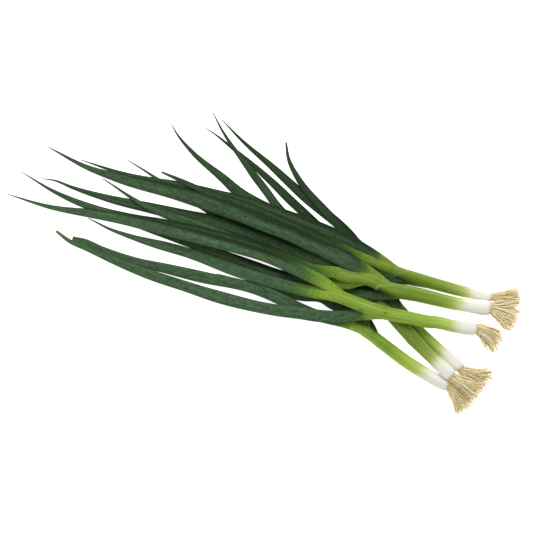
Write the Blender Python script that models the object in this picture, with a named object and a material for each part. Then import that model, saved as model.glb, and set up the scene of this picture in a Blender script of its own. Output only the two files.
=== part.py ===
# A bunch of six spring onions lying on a table, roots towards +X and leaf tips towards -X.
# Each onion is a shank (the white end and the green false stem of wrapped leaf bases), three or
# four leaf blades and a brush of roots. The onions are laid one over another: every stalk has a
# route over the table, and its height along that route is the lowest smooth line that clears the
# table and what already lies there.

import random

import bmesh
import bpy
import numpy as np
from mathutils import Vector
from mathutils.bvhtree import BVHTree

MM = 0.001

# ---- driving dimensions, in millimetres ----------------------------------------------------

GAP = 0.3               # between two pieces that meet end to end
CLEAR = 0.4             # between stalks that lie on each other
STATION = 2.0           # step along a route at which heights are worked out
SKIN = 0.1              # what a blade is swollen by when it is tested against its neighbours
CELL = 0.5              # grid on which the heap's upper side is kept
FLOOR_X = 260.0         # half length of that grid
FLOOR_Y = 130.0         # half width of that grid

DROOP = 0.25            # how steeply an unsupported stalk sinks
BEND = 8.0              # reach over which a stalk's height is rounded off
RAMP = 30.0             # length in which a leaf leaves the height of its stem
INSIDE = 12.0           # how far a leaf starts inside its stem
LONGEST_STUB = 40.0     # a leaf is free of its shank after this much at most

SHANK_SIDES = 12
LEAF_SIDES = 8
SHANK_RING = 9.0        # distance between a shank's rings
LEAF_RING = 14.0        # distance between a leaf's rings
FLATNESS = 0.30         # a blade's thickness as a share of its width
FLAT_SIDE = 0.92        # how far down a section's flat underside is, as a share of its half
THINNEST = 0.4          # half the thickness of a blade at its tip
OPENING = 50.0          # length in which a leaf widens to its full width
FLATTENING = 26.0       # length in which it flattens
TAPER = 1.6             # power of the taper over a leaf's outer half

BULB_AT = 8.0           # the bulb's widest place, from the root end
NECK_AT = 24.0          # where the bulb has narrowed to the neck
PLATE_LENGTH = 2.6
ROOTS = 18              # roots on each onion
ROOT_SAG = 0.2          # how far a root's end has sunk, as a share of its length
ROOT_THICK = 0.62       # a root's radius where it leaves the plate
ROOT_THIN = 0.42        # and at its cut end
ROOT_SIDES = 3

# The onions in the order in which they are laid. "stem" is the route of the shank's middle from
# the root end on; bulb, neck, collar and end are radii along it, and collar_at is where the
# first leaf leaves. A leaf is (number, where it leaves the stem, width, half width of its tip,
# route). The leaf that leaves at the stem's end carries on from it. "roots" is the brush's
# direction and spread in degrees and its length.
ONIONS = {
    4: {
        "stem": [(201, -56), (190, -50.5), (175, -44.6), (160.5, -38.2), (146.5, -31), (132.5, -23),
                 (121.5, -16.6)],
        "bulb": 5.6, "neck": 5.0, "collar": 5.2, "end": 4.8, "collar_at": 66,
        "leaves": [
            (3, 89, 8.2, 0.5, [(75, 9), (52, 20.2), (30.2, 30.7), (10.2, 39.9), (-14.6, 52.1),
                               (-28.5, 58.3), (-59.8, 70.8), (-75.6, 76.7), (-84.5, 79)]),
            (2, 74, 9.2, 0.5, [(107, -4), (89, 13), (73.5, 24.5), (15.3, 49.6), (-15, 63.6),
                               (-52, 79.6), (-73, 91)]),
            (1, 68, 9.0, 0.8, [(101, 5), (87, 17), (74, 24), (41, 41.2), (9.2, 61.4), (-4.8, 76),
                               (-11.4, 89.3)]),
        ],
        "roots": (-3, 16, 30),
    },
    6: {
        "stem": [(195, -74), (182, -72.4), (167.3, -69.2), (151.5, -65), (137, -60), (124, -55.4),
                 (104, -49.6), (94, -49)],
        "bulb": 6.4, "neck": 5.8, "collar": 5.8, "end": 5.0, "collar_at": 62,
        "leaves": [
            (1, 78, 10.0, 0.5, [(112, -46.5), (106, -41.5), (97, -38.5), (84, -37.5), (74, -36.8),
                                (63, -34.2), (45.6, -38), (10.3, -42.3), (-34, -42.8)]),
            (3, 86, 9.5, 0.5, [(106.5, -44), (105, -36), (101.3, -27.5), (91, -20), (72, -16), (40, -13),
                               (0, -6), (-40, 4), (-62.7, 10.5), (-84, 15.5), (-105, 20), (-119, 24),
                               (-143, 30)]),
            (2, 105, 10.5, 2.2, [(60, -50.6), (48, -49.6), (7, -45), (-48, -50), (-84, -53),
                                 (-103, -55), (-141, -54), (-156, -52), (-168, -53)]),
        ],
        "roots": (-32, 20, 28),
    },
    5: {
        "stem": [(195, -65), (183, -59.6), (169.6, -52.9), (148.3, -41.7), (134.8, -34.5),
                 (111, -21.5)],
        "bulb": 5.9, "neck": 5.4, "collar": 6.3, "end": 5.0, "collar_at": 58,
        "leaves": [
            (1, 62, 12.6, 0.5, [(133, -28.5), (126, -19.5), (100, -3.4), (75.5, 7.6), (44, 16.4),
                                (14, 23), (-8, 26), (-35, 32), (-56, 41), (-89, 54.6), (-108, 66.6),
                                (-115, 73)]),
            (2, 95, 8.4, 0.5, [(80, -5), (46, 9.5), (18, 21), (-5.8, 35), (-11.9, 39.6), (-35, 55.6),
                               (-71, 83), (-83, 95)]),
        ],
        "roots": (-11, 12, 31),
    },
    1: {
        "stem": [(208, 14), (180, 10.5), (164, 9.6), (148, 8.8), (132, 8.3), (116, 9), (97, 10.2)],
        "bulb": 5.2, "neck": 5.1, "collar": 5.7, "end": 4.8, "collar_at": 76,
        "leaves": [
            (1, 71, 13.0, 0.5, [(130, 5.8), (118, 2.5), (105, 1.5), (78, -0.8), (55, -2.2), (41, -2.6),
                                (31, -2), (15, -0.8), (2.5, 0.2), (-24, 1), (-50, 0.3), (-64, -0.8),
                                (-110, -5), (-146, -8.4), (-184, -9), (-199, -8), (-211, -10)]),
            (2, 88, 10.5, 0.5, [(106, 13.2), (81, 20), (19, 26), (-90, 22), (-136, 17),
                                (-183, 17)]),
            (3, 111, 10.0, 0.8, [(80, 11.4), (71, 12.9), (44, 16), (-33, 22), (-62, 23.5),
                                 (-90.6, 27), (-110, 29)]),
        ],
        "roots": (19, 11, 26),
    },
    2: {
        "stem": [(209, 3.6), (184, -1.4), (146, -4.7), (114, -7.5), (99, -5.6), (80, -9)],
        "bulb": 7.1, "neck": 5.7, "collar": 6.6, "end": 5.6, "collar_at": 84,
        "leaves": [
            (1, 78, 10.0, 0.5, [(117, -12.5), (104, -17.5), (93, -20.3), (70, -22.8), (38, -25),
                                (17, -26.6), (-5, -26), (-37, -25), (-75, -25.2), (-112, -25.2),
                                (-127, -24.6)]),
            (4, 112, 10.0, 0.5, [(78, -15.6), (60, -19.2), (36, -17.4), (-22, -9.9), (-81, -6.8),
                                 (-105, -6), (-159, 7)]),
            (3, 130, 10.5, 0.5, [(68, -8.8), (57, -11), (46, -12.4), (33, -11.4), (8, -9.4),
                                 (-97, -16), (-125, -19.5), (-156, -21), (-195, -18), (-230, -10)]),
            (2, 92, 14.5, 0.5, [(103, -3), (82, 2.6), (64.9, 6.3), (50.6, 7.8), (31.9, 9.9), (15.6, 12.2),
                                (-2, 13.4), (-88, 15), (-143, 12), (-172, 12), (-215, 19)]),
        ],
        "roots": (1, 30, 28),
    },
    3: {
        "stem": [(203, -18), (183, -21.8), (167.3, -23.3), (159.4, -25.1), (143.2, -27),
                 (119.6, -29.6), (76, -28.2)],
        "bulb": 6.5, "neck": 5.5, "collar": 6.0, "end": 5.9, "collar_at": 88,
        "leaves": [
            (1, 82, 11.0, 1.2, [(103, -36.2), (92, -41.5), (66, -50.3), (48, -53.3), (30, -57),
                                (-25, -62.2), (-62, -62.4), (-88, -62.4), (-120, -60.9), (-154, -57.2),
                                (-169, -56), (-184, -51)]),
            (3, 128, 10.5, 0.5, [(51, -32), (-5, -35), (-63, -33), (-119, -35), (-138, -34.4),
                                 (-160, -31)]),
            (2, 118, 11.8, 0.5, [(73, -25), (62.3, -21.5), (47.2, -18.7), (30.9, -16.4), (7.2, -14.2),
                                 (-25, -14.6), (-60, -16.6), (-105, -20.2), (-132, -22.5), (-159, -26.4),
                                 (-195, -32), (-236, -33)]),
        ],
        "roots": (-14, 22, 27),
    },
}

WHITE_GREEN = (0.45, 0.60, 0.22, 1.0)
LEAF_GREEN = (0.05, 0.11, 0.06, 1.0)
STRAW = (0.60, 0.48, 0.28, 1.0)


# ---- routes --------------------------------------------------------------------------------

def along(points):
    """Distance from the first point to each point of a line."""
    steps = np.linalg.norm(np.diff(points, axis=0), axis=1)
    return np.concatenate([[0.0], np.cumsum(steps)])


def smooth_line(points, step):
    """A smooth curve through the points, read off at even steps."""
    points = np.array(points, dtype=float)
    knots = along(points)
    slopes = np.diff(points, axis=0) / np.diff(knots)[:, None]
    tangents = np.vstack([slopes[:1], slopes[:-1], slopes[-1:]])
    tangents = tangents[:len(points)]
    for i in range(1, len(points) - 1):
        before = knots[i] - knots[i - 1]
        after = knots[i + 1] - knots[i]
        tangents[i] = (slopes[i - 1] * after + slopes[i] * before) / (before + after)
    tangents[-1] = slopes[-1]
    fine = np.linspace(0.0, knots[-1], int(knots[-1] / 0.5) + 2)
    seat = np.clip(np.searchsorted(knots, fine) - 1, 0, len(points) - 2)
    span = (knots[seat + 1] - knots[seat])[:, None]
    t = (fine - knots[seat])[:, None] / span
    curve = ((2 * t ** 3 - 3 * t ** 2 + 1) * points[seat]
             + (t ** 3 - 2 * t ** 2 + t) * span * tangents[seat]
             + (3 * t ** 2 - 2 * t ** 3) * points[seat + 1]
             + (t ** 3 - t ** 2) * span * tangents[seat + 1])
    run = along(curve)
    even = np.linspace(0.0, run[-1], int(round(run[-1] / step)) + 1)
    return np.column_stack([np.interp(even, run, curve[:, k]) for k in range(2)])


def sideways(line):
    """The level direction across a route at each of its points."""
    ahead = np.gradient(line[:, :2], axis=0)
    ahead /= np.linalg.norm(ahead, axis=1)[:, None]
    return np.column_stack([-ahead[:, 1], ahead[:, 0]])


def ease(t):
    t = np.clip(t, 0.0, 1.0)
    return t * t * (3.0 - 2.0 * t)


# ---- the heap ------------------------------------------------------------------------------

def new_heap():
    return np.zeros((int(2 * FLOOR_X / CELL), int(2 * FLOOR_Y / CELL)))


def cell_of(xy):
    i = np.clip(((xy[..., 0] + FLOOR_X) / CELL).astype(int), 0, int(2 * FLOOR_X / CELL) - 1)
    j = np.clip(((xy[..., 1] + FLOOR_Y) / CELL).astype(int), 0, int(2 * FLOOR_Y / CELL) - 1)
    return i, j


def shoulder(w):
    """Height of a round section over its middle, at a share w of its half width."""
    return np.sqrt(np.maximum(1.0 - w * w, 0.0))


def needed_height(heap, line, half_width, half_thick):
    """The lowest height of the middle at each station that clears the heap and the table."""
    across = sideways(line)
    need = half_thick * FLAT_SIDE
    for w in np.linspace(-1.0, 1.0, 15):
        spots = line[:, :2] + across * (w * (half_width + CLEAR))[:, None]
        top = heap[cell_of(spots)]
        lifted = top + CLEAR + half_thick * shoulder(w)
        need = np.where(top > 0.0, np.maximum(need, lifted), need)
    return need


def drape(need):
    """The lowest smooth line over the needed heights, sinking no steeper than DROOP."""
    line = need.copy()
    fall = DROOP * STATION
    for i in range(1, len(line)):
        line[i] = max(line[i], line[i - 1] - fall)
    for i in range(len(line) - 2, -1, -1):
        line[i] = max(line[i], line[i + 1] - fall)
    reach = int(BEND / STATION)
    padded = np.pad(line, 2 * reach, mode="edge")
    windows = np.lib.stride_tricks.sliding_window_view(padded, 2 * reach + 1)
    widest = windows.max(axis=1)
    weights = np.cos(np.linspace(-1.4, 1.4, 2 * reach + 1)) ** 2
    return np.convolve(widest, weights / weights.sum(), mode="valid")


def add_to_heap(heap, tube):
    """Raise the heap's upper side where the tube lies."""
    run = along(tube["line"][:, :2])
    fine = np.linspace(0.0, run[-1], int(run[-1] / 0.4) + 2)
    line = np.column_stack([np.interp(fine, run, tube["line"][:, k]) for k in range(3)])
    half_width = np.interp(fine, run, tube["half_width"])
    half_thick = np.interp(fine, run, tube["half_thick"])
    across = sideways(line)
    for w in np.linspace(-1.0, 1.0, 41):
        spots = line[:, :2] + across * (w * half_width)[:, None]
        np.maximum.at(heap, cell_of(spots), line[:, 2] + half_thick * shoulder(w))


# ---- laying the stalks ---------------------------------------------------------------------

def stem_radius(onion, run):
    ends = [0.0, 3.0, BULB_AT, NECK_AT, onion["collar_at"] - 6, onion["collar_at"] + 16, run[-1]]
    bulb = onion["bulb"]
    sizes = [0.72 * bulb, 0.93 * bulb, bulb, onion["neck"], onion["collar"], onion["end"] + 0.3,
             onion["end"]]
    rough = np.interp(run, ends, sizes)
    smooth = np.convolve(np.pad(rough, 2, mode="edge"), [0.1, 0.2, 0.4, 0.2, 0.1], mode="valid")
    return np.where(run < NECK_AT, rough, smooth)


def lay_stem(onion, heap):
    line = smooth_line(onion["stem"], STATION)
    radius = stem_radius(onion, along(line))
    height = drape(needed_height(heap, line, radius, radius))
    line = np.column_stack([line, height])
    return {"line": line, "half_width": radius, "half_thick": radius}


def leaf_sizes(run, fork, base, width, tip):
    """Half width and half thickness of a leaf along its route."""
    opened = ease((run - fork) / OPENING)
    flattened = ease((run - fork + INSIDE) / (FLATTENING + INSIDE))
    share = np.clip((run / run[-1] - 0.5) / 0.5, 0.0, 1.0)
    taper = 1.0 - share ** TAPER
    half_width = (base + (width / 2 - base) * opened) * taper + tip * (1.0 - taper)
    flat = base + (FLATNESS * width / 2 - base) * flattened
    half_thick = np.maximum(flat * taper ** 0.7, THINNEST)
    return half_width, np.minimum(half_thick, np.maximum(half_width, THINNEST))


def lay_leaf(stem, leaf, heap, own_heap):
    """A leaf from inside its stem to its tip, over the other onions and its own."""
    number, fork, width, tip, route = leaf
    stem_run = along(stem["line"][:, :2])
    fork = min(fork, stem_run[-1])
    starts = [fork - INSIDE, fork - INSIDE / 2, fork]
    inner = [(np.interp(s, stem_run, stem["line"][:, 0]),
              np.interp(s, stem_run, stem["line"][:, 1])) for s in starts]
    line = smooth_line(inner + route, STATION)
    run = along(line)
    is_heart = fork > stem_run[-1] - 1.0
    radius = np.interp(fork, stem_run, stem["half_width"])
    base = radius if is_heart else 0.8 * radius
    half_width, half_thick = leaf_sizes(run, INSIDE, base, width, tip)
    from_stem = np.interp(run + fork - INSIDE, stem_run, stem["line"][:, 2])
    leaving = ease((run - INSIDE) / RAMP)
    need = needed_height(heap, line, half_width, half_thick)
    free = from_stem + (drape(need) - from_stem) * leaving
    own_need = needed_height(own_heap, line, half_width, half_thick)
    blocked = np.nonzero(own_need > free + 0.3)[0]
    limit = INSIDE + LONGEST_STUB
    stub = min(run[blocked[-1]] if len(blocked) else INSIDE, limit)
    need = np.where(run >= stub, np.maximum(need, own_need), need)
    height = from_stem + (drape(need) - from_stem) * leaving
    return {"line": np.column_stack([line, height]), "half_width": half_width,
            "half_thick": half_thick, "number": number, "heart": is_heart}


def lay_bunch():
    """All the onions' tubes, laid in order."""
    heap = new_heap()
    bunch = {}
    for number, onion in ONIONS.items():
        stem = lay_stem(onion, heap)
        own_heap = new_heap()
        leaves = []
        for leaf in onion["leaves"]:
            laid = lay_leaf(stem, leaf, heap, own_heap)
            add_to_heap(own_heap, laid)
            leaves.append(laid)
        heap = np.maximum(heap, own_heap)
        add_to_heap(heap, stem)
        bunch[number] = {"stem": stem, "leaves": leaves}
    return bunch


# ---- meshes --------------------------------------------------------------------------------

def rings(tube, start, end, ring_step, sides, swell=0.0):
    """Rings of points round a tube between two distances along it."""
    run = along(tube["line"][:, :2])
    count = max(int(round((end - start) / ring_step)), 1) + 1
    stations = np.linspace(start, end, count)
    line = np.column_stack([np.interp(stations, run, tube["line"][:, k]) for k in range(3)])
    half_width = np.interp(stations, run, tube["half_width"]) + swell
    half_thick = np.interp(stations, run, tube["half_thick"]) + swell
    course = np.gradient(tube["line"], run, axis=0)
    ahead = np.column_stack([np.interp(stations, run, course[:, k]) for k in range(3)])
    ahead /= np.linalg.norm(ahead, axis=1)[:, None]
    across = np.column_stack([-ahead[:, 1], ahead[:, 0], np.zeros(count)])
    across /= np.linalg.norm(across, axis=1)[:, None]
    upward = np.cross(ahead, across)
    turns = (np.arange(sides) + 0.5) * 2 * np.pi / sides
    points = (line[:, None, :]
              + across[:, None, :] * (half_width[:, None] * np.cos(turns))[:, :, None]
              + upward[:, None, :] * (half_thick[:, None] * np.sin(turns))[:, :, None])
    points[:, :, 2] = np.maximum(points[:, :, 2], 0.0)
    return points


def tube_mesh(points):
    """A closed mesh over rings of points, with a flat end at each side."""
    mesh = bmesh.new()
    loops = [[mesh.verts.new(Vector(p) * MM) for p in ring] for ring in points]
    sides = len(loops[0])
    for near, far in zip(loops, loops[1:]):
        for i in range(sides):
            j = (i + 1) % sides
            mesh.faces.new((near[i], near[j], far[j], far[i]))
    mesh.faces.new(loops[0][::-1])
    mesh.faces.new(loops[-1])
    bmesh.ops.triangulate(mesh, faces=mesh.faces[:])
    bmesh.ops.recalc_face_normals(mesh, faces=mesh.faces[:])
    return mesh


def tube_object(name, points):
    mesh = tube_mesh(points)
    data = bpy.data.meshes.new(name)
    mesh.to_mesh(data)
    mesh.free()
    piece = bpy.data.objects.new(name, data)
    bpy.context.scene.collection.objects.link(piece)
    return piece


def is_closed(data):
    mesh = bmesh.new()
    mesh.from_mesh(data)
    closed = all(len(edge.link_faces) == 2 for edge in mesh.edges) and len(mesh.faces) > 0
    mesh.free()
    return closed


def keep_outer_skin(data):
    """Drop sealed hollows and loose scraps: only the largest connected skin stays."""
    mesh = bmesh.new()
    mesh.from_mesh(data)
    waiting = set(mesh.verts)
    skins = []
    while waiting:
        front = [waiting.pop()]
        skin = set(front)
        while front:
            vertex = front.pop()
            for edge in vertex.link_edges:
                other = edge.other_vert(vertex)
                if other in waiting:
                    waiting.remove(other)
                    skin.add(other)
                    front.append(other)
        skins.append(skin)
    skins.sort(key=len)
    scraps = [vertex for skin in skins[:-1] for vertex in skin]
    bmesh.ops.delete(mesh, geom=scraps, context="VERTS")
    mesh.to_mesh(data)
    mesh.free()


def fuse(base, others):
    """Join the other objects to the base with one Boolean union and remove them."""
    operands = bpy.data.collections.new(base.name + "_parts")
    bpy.context.scene.collection.children.link(operands)
    for other in others:
        bpy.context.scene.collection.objects.unlink(other)
        operands.objects.link(other)
    union = base.modifiers.new("union", "BOOLEAN")
    union.operation = "UNION"
    union.operand_type = "COLLECTION"
    union.collection = operands
    joined = None
    for solver in ("EXACT", "MANIFOLD"):
        union.solver = solver
        graph = bpy.context.evaluated_depsgraph_get()
        graph.update()
        joined = bpy.data.meshes.new_from_object(base.evaluated_get(graph))
        if is_closed(joined):
            break
    base.modifiers.remove(union)
    keep_outer_skin(joined)
    base.data = joined
    for other in others:
        bpy.data.objects.remove(other)
    bpy.data.collections.remove(operands)


def material(name, colour, roughness):
    shade = bpy.data.materials.new(name)
    shade.use_nodes = True
    shader = shade.node_tree.nodes["Principled BSDF"]
    shader.inputs["Base Color"].default_value = colour
    shader.inputs["Roughness"].default_value = roughness
    return shade


def finish(piece, shade):
    piece.data.materials.clear()
    piece.data.materials.append(shade)
    piece.data.shade_smooth()
    piece.data.set_sharp_from_angle(angle=0.8)


# ---- shanks and leaves ---------------------------------------------------------------------

def ring_tree(points):
    """A search tree over the sides of a tube."""
    sides = len(points[0])
    corners = [tuple(p) for p in points.reshape(-1, 3)]
    faces = []
    for i in range(len(points) - 1):
        for k in range(sides):
            a = i * sides + k
            b = i * sides + (k + 1) % sides
            faces.append((a, b, b + sides))
            faces.append((a, b + sides, a + sides))
    return BVHTree.FromPolygons(corners, faces)


def length_of(tube):
    return along(tube["line"][:, :2])[-1]


def first_splits(stem, leaves):
    """For each leaf, the distance along it past which it is clear of its own onion."""
    tubes = [stem] + leaves
    trees = [ring_tree(rings(tube, 0.0, length_of(tube), STATION, LEAF_SIDES, CLEAR / 4))
             for tube in tubes]
    splits = []
    for index in range(1, len(tubes)):
        last = 0
        for other in range(len(tubes)):
            if other != index:
                pairs = trees[index].overlap(trees[other])
                last = max([last] + [mine // (2 * LEAF_SIDES) for mine, _ in pairs])
        splits.append((last + 2) * STATION)
    return splits


def blade_rings(leaf, split):
    return rings(leaf, split + GAP, length_of(leaf), LEAF_RING, LEAF_SIDES, SKIN)


def stub_rings(stem, leaf, split):
    if leaf["heart"]:
        return main_rings(stem, leaf, split)
    return rings(leaf, 0.0, split, SHANK_RING, LEAF_SIDES)


def clear_splits(stem, leaves):
    """Lengthen the stubs until no blade touches its shank or another blade."""
    splits = first_splits(stem, leaves)
    for _ in range(20):
        blades = [ring_tree(blade_rings(leaf, at)) for leaf, at in zip(leaves, splits)]
        stubs = [ring_tree(stub_rings(stem, leaf, at)) for leaf, at in zip(leaves, splits)]
        touching = set()
        for i in range(len(leaves)):
            for j in range(len(leaves)):
                if i != j and (blades[i].overlap(stubs[j]) or blades[i].overlap(blades[j])):
                    touching.add(i)
        if not touching:
            break
        splits = [at + STATION * (i in touching) for i, at in enumerate(splits)]
    return splits


def make_onion(number, parts, stem_shade, leaf_shade):
    """The shank and the blades of one onion; returns the shank."""
    stem = parts["stem"]
    leaves = parts["leaves"]
    splits = clear_splits(stem, leaves)
    shank = None
    stubs = []
    for leaf, split in zip(leaves, splits):
        leaf_name = f"onion_{number}_leaf_{leaf['number']}"
        blade = tube_object(leaf_name, rings(leaf, split + GAP, length_of(leaf), LEAF_RING,
                                             LEAF_SIDES))
        finish(blade, leaf_shade)
        points = stub_rings(stem, leaf, split)
        if leaf["heart"]:
            shank = tube_object(f"onion_{number}_shank", points)
        else:
            stubs.append(tube_object(leaf_name + "_stub", points))
    fuse(shank, stubs)
    finish(shank, stem_shade)
    return shank


def main_rings(stem, heart, split):
    """Rings of the stem and of the heart leaf's first stretch, as one tube."""
    run = along(heart["line"][:, :2])
    beyond = run[(run > INSIDE + STATION / 2) & (run < split - STATION / 2)]
    beyond = np.append(beyond, split)
    line = np.column_stack([np.interp(beyond, run, heart["line"][:, k]) for k in range(3)])
    joined = {"line": np.vstack([stem["line"], line])}
    for key in ("half_width", "half_thick"):
        joined[key] = np.append(stem[key], np.interp(beyond, run, heart[key]))
    return np.concatenate([
        rings(joined, 0.0, BULB_AT, BULB_AT / 3, SHANK_SIDES)[:-1],
        rings(joined, BULB_AT, length_of(joined), SHANK_RING, SHANK_SIDES),
    ])


# ---- roots ---------------------------------------------------------------------------------

def root_strand(rng, place_share, foot, ahead, across, onion):
    """One root's points and radii: out of the plate, curving, to its cut end."""
    heading, spread, length = onion["roots"]
    spot = place_share + rng.uniform(-0.12, 0.12)
    level = rng.uniform(-1.0, 1.0) * np.sqrt(max(1.0 - spot * spot, 0.0))
    plate = 0.55 * onion["bulb"]
    place = foot + across * spot * plate + np.array([0.0, 0.0, level * plate])
    turn = np.radians(heading + spread * spot + rng.uniform(-3.0, 3.0))
    out = np.array([np.cos(turn), np.sin(turn), 0.12 * level])
    reach = length * rng.uniform(0.82, 1.0)
    wave = rng.uniform(-1.0, 1.0)
    bow = np.array([-out[1], out[0], 0.0])
    points = []
    for share in (0.0, 0.33, 0.67, 1.0):
        start = ahead * (1.0 - share) + out * share
        point = place + (0.35 * start + 0.65 * out) * reach * share
        point = point + bow * wave * 1.2 * np.sin(2 * np.pi * share * 0.8)
        point[2] = max(point[2] - ROOT_SAG * reach * share ** 2, ROOT_THICK + 0.1)
        points.append(point)
    points[0] = points[0] - ahead * 1.2
    radii = np.linspace(ROOT_THICK, ROOT_THIN, len(points))
    return {"line": np.array(points), "half_width": radii, "half_thick": radii}


def strand_points(strand):
    run = along(strand["line"][:, :2])
    return rings(strand, 0.0, run[-1], run[-1] / (len(strand["line"]) - 1), ROOT_SIDES)


def make_roots(number, onion, stem, trees, shade):
    """The root plate and its brush, kept clear of everything already made."""
    rng = random.Random(number)
    foot = stem["line"][0]
    ahead = stem["line"][0] - stem["line"][2]
    ahead /= np.linalg.norm(ahead)
    across = np.array([-ahead[1], ahead[0], 0.0])
    bulb = onion["bulb"]
    plate_line = np.array([foot + ahead * reach for reach in (GAP, 1.0, 1.9, PLATE_LENGTH)])
    plate_radii = np.array([0.68, 0.70, 0.60, 0.40]) * bulb
    plate = {"line": plate_line, "half_width": plate_radii, "half_thick": plate_radii}
    run = along(plate_line[:, :2])
    base = tube_object(f"onion_{number}_roots", rings(plate, 0.0, run[-1], run[-1] / 3, 10))
    strands = []
    while len(strands) < ROOTS:
        place_share = (2.0 * len(strands) + 1.0) / ROOTS - 1.0
        strand = root_strand(rng, place_share, foot + ahead * 1.6, ahead, across, onion)
        points = strand_points(strand)
        mesh = tube_mesh(points)
        tree = BVHTree.FromBMesh(mesh)
        mesh.free()
        if any(tree.overlap(other) for other in trees):
            continue
        strands.append(tube_object(f"root_{number}_{len(strands)}", points))
    fuse(base, strands)
    finish(base, shade)
    return base


def tree_of(piece):
    mesh = bmesh.new()
    mesh.from_mesh(piece.data)
    tree = BVHTree.FromBMesh(mesh)
    mesh.free()
    return tree


# ---- the bunch -----------------------------------------------------------------------------

def build():
    for old in list(bpy.data.objects):
        bpy.data.objects.remove(old)
    stem_shade = material("onion_shank", WHITE_GREEN, 0.35)
    leaf_shade = material("onion_leaf", LEAF_GREEN, 0.45)
    root_shade = material("onion_roots", STRAW, 0.9)
    bunch = lay_bunch()
    trees = []
    for number, parts in bunch.items():
        shank = make_onion(number, parts, stem_shade, leaf_shade)
        trees.append(tree_of(shank))
    for number, parts in bunch.items():
        brush = make_roots(number, ONIONS[number], parts["stem"], trees, root_shade)
        trees.append(tree_of(brush))


build()
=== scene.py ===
# Six spring onions laid one over another on a white table, roots to +X and leaf tips to -X.
# Distances along a stalk are in millimetres; mesh points are turned to metres at the end.

import math

import bpy
import numpy as np
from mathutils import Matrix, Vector


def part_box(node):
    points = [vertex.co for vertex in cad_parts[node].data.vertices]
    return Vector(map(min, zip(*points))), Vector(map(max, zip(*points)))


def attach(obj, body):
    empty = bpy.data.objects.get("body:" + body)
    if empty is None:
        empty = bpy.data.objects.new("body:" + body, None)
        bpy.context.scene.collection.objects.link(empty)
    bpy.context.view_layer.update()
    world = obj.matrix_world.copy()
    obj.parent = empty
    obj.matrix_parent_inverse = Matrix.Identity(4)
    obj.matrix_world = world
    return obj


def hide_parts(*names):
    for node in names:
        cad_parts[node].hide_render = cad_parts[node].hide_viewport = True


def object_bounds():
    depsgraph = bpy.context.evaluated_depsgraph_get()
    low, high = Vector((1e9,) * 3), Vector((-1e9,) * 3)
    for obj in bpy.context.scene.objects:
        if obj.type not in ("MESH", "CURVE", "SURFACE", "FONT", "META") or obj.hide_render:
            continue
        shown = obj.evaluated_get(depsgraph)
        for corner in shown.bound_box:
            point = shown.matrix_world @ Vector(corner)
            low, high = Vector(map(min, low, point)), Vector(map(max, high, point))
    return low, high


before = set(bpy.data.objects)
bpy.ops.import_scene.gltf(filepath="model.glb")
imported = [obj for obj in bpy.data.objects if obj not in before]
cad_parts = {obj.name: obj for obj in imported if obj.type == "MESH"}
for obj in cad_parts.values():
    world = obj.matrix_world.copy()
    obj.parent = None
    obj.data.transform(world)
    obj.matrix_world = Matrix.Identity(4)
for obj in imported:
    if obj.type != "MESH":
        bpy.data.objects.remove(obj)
cadLow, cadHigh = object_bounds()
print("frame loaded,", len(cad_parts), "nodes")

mm = 0.001

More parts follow.
